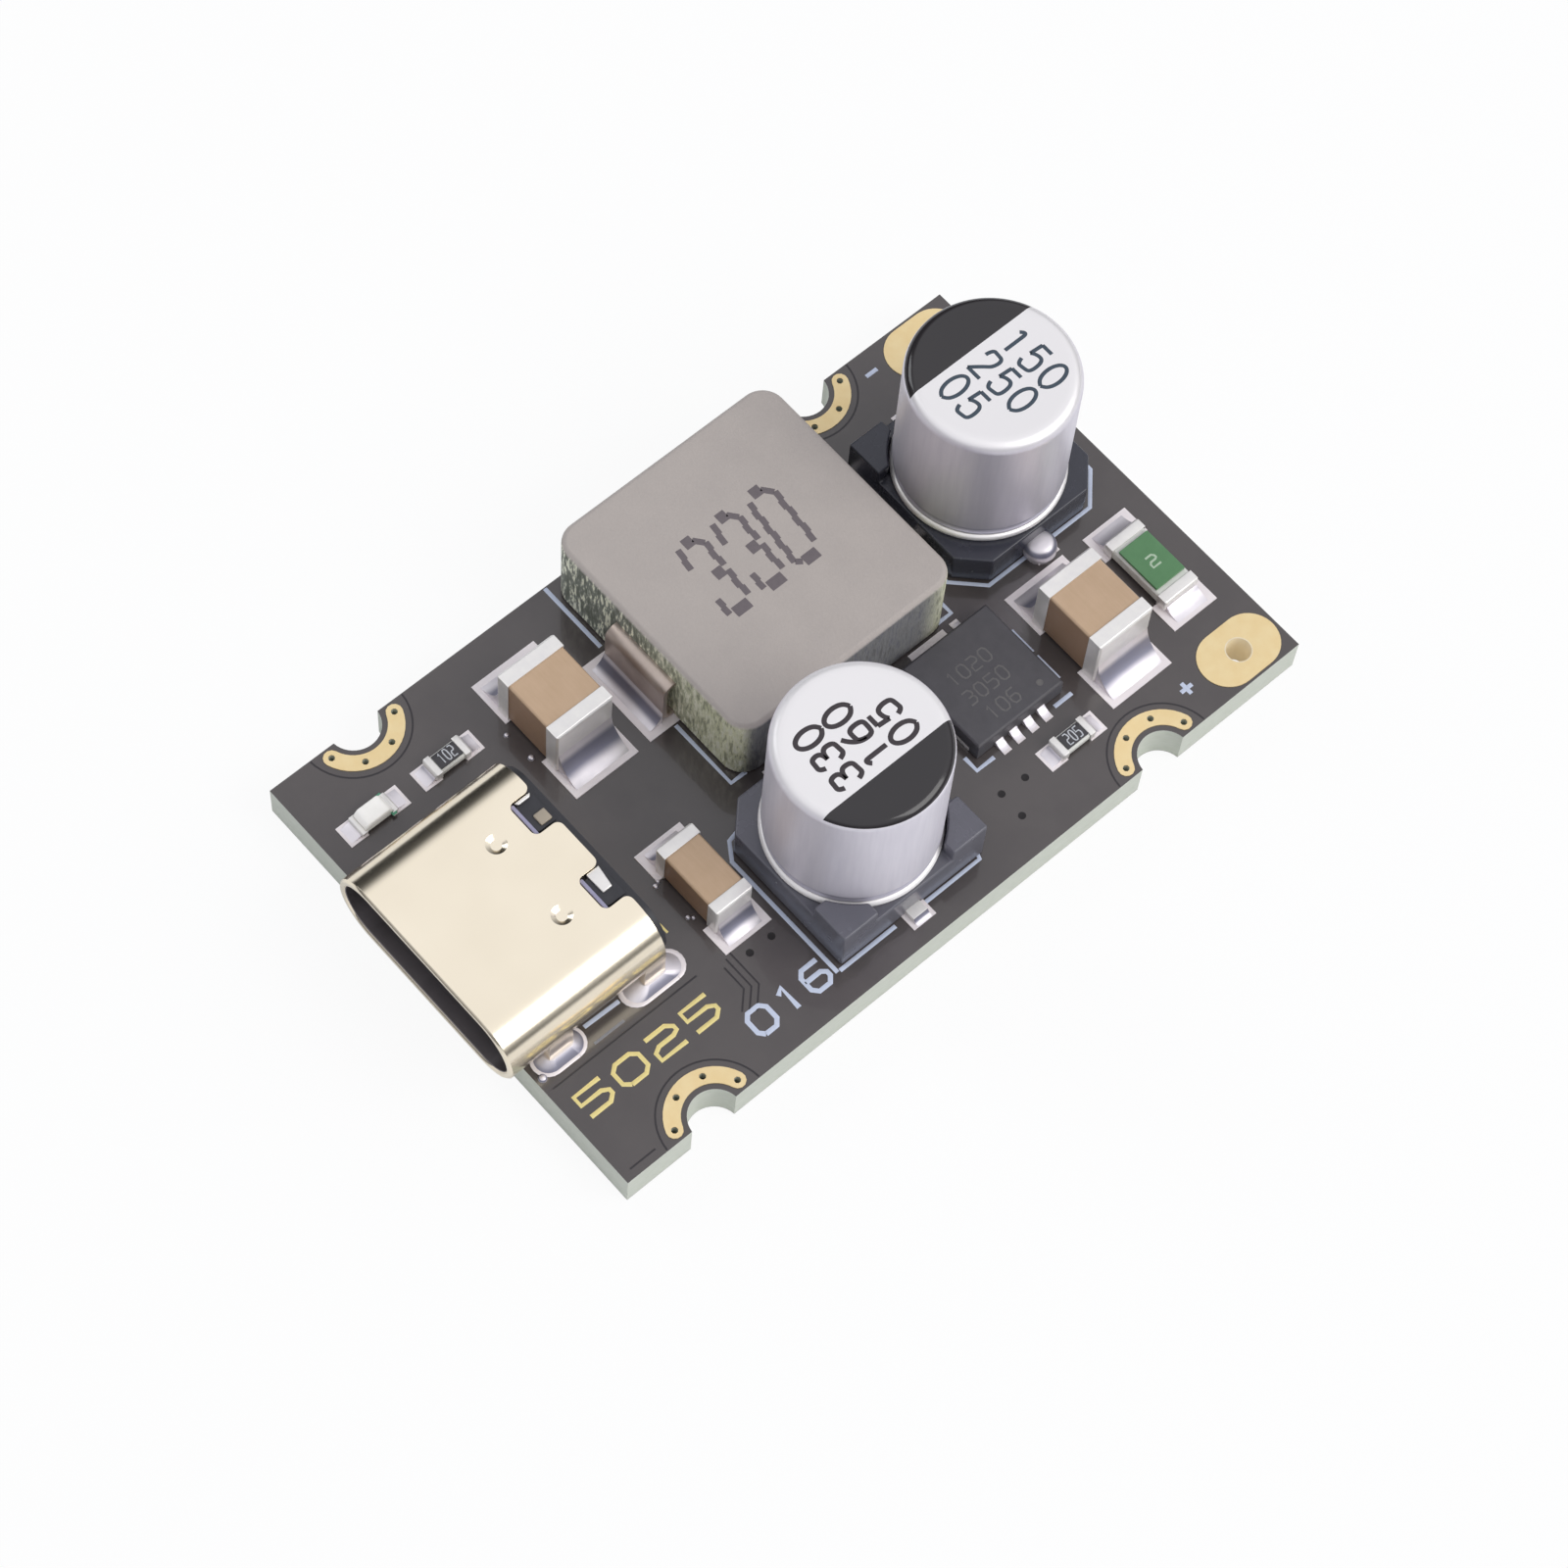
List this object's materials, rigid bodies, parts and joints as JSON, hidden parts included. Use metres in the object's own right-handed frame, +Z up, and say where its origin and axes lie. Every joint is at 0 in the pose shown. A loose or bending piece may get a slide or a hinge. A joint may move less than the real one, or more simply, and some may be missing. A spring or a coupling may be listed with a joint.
{
  "type": "battery charger module",
  "caption": "Small charger circuit board with a USB-C port, a moulded inductor, can capacitors, chips, plated battery pads and half-round edge notches.",
  "frame": {"origin": "middle of the board's underside", "axes": "+X across the board, +Y along it away from the port, +Z up from the underside"},
  "size_m": [0.0186, 0.0318, 0.0093],
  "materials": {
    "solder_mask": "gloss",
    "gold_plate": "satin",
    "tinned_copper": "satin",
    "nickel_shell": "polished",
    "gold_contacts": "polished",
    "port_moulding": "matte",
    "moulded_powder": "matte",
    "strap_copper": "satin",
    "can_aluminium": "satin",
    "base_plastic": "satin",
    "capacitor_ceramic": "matte",
    "plated_ends": "satin",
    "chip_substrate": "matte",
    "green_glaze": "gloss",
    "black_glaze": "gloss",
    "led_resin": "gloss",
    "chip_epoxy": "matte",
    "solder": "polished"
  },
  "bodies": {
    "root": {"circuit_board": "solder_mask", "notch_rings": "gold_plate", "power_pads": "gold_plate", "component_lands": "tinned_copper", "usb_shell": "nickel_shell", "usb_insulator": "port_moulding", "usb_mid_plate": "nickel_shell", "usb_upper_contacts": "gold_contacts", "usb_lower_contacts": "gold_contacts", "usb_leg_solder": "solder", "inductor_body": "moulded_powder", "inductor_straps": "strap_copper", "inductor_solder": "solder", "front_capacitor_can": "can_aluminium", "front_capacitor_base": "base_plastic", "front_capacitor_leads": "tinned_copper", "rear_capacitor_can": "can_aluminium", "rear_capacitor_base": "base_plastic", "rear_capacitor_leads": "tinned_copper", "capacitor_lead_solder": "solder", "left_ceramic_body": "capacitor_ceramic", "left_ceramic_caps": "plated_ends", "right_ceramic_body": "capacitor_ceramic", "right_ceramic_caps": "plated_ends", "middle_ceramic_body": "capacitor_ceramic", "middle_ceramic_caps": "plated_ends", "fuse_substrate": "chip_substrate", "fuse_cover": "green_glaze", "fuse_caps": "plated_ends", "led_resistor_substrate": "chip_substrate", "led_resistor_coat": "black_glaze", "led_resistor_caps": "plated_ends", "sense_resistor_substrate": "chip_substrate", "sense_resistor_coat": "black_glaze", "sense_resistor_caps": "plated_ends", "led_substrate": "chip_substrate", "led_lens": "led_resin", "led_ends": "plated_ends", "chip_solder": "solder", "controller_body": "chip_epoxy", "controller_lead_frame": "tinned_copper", "controller_solder": "solder"}
  },
  "joints": []
}
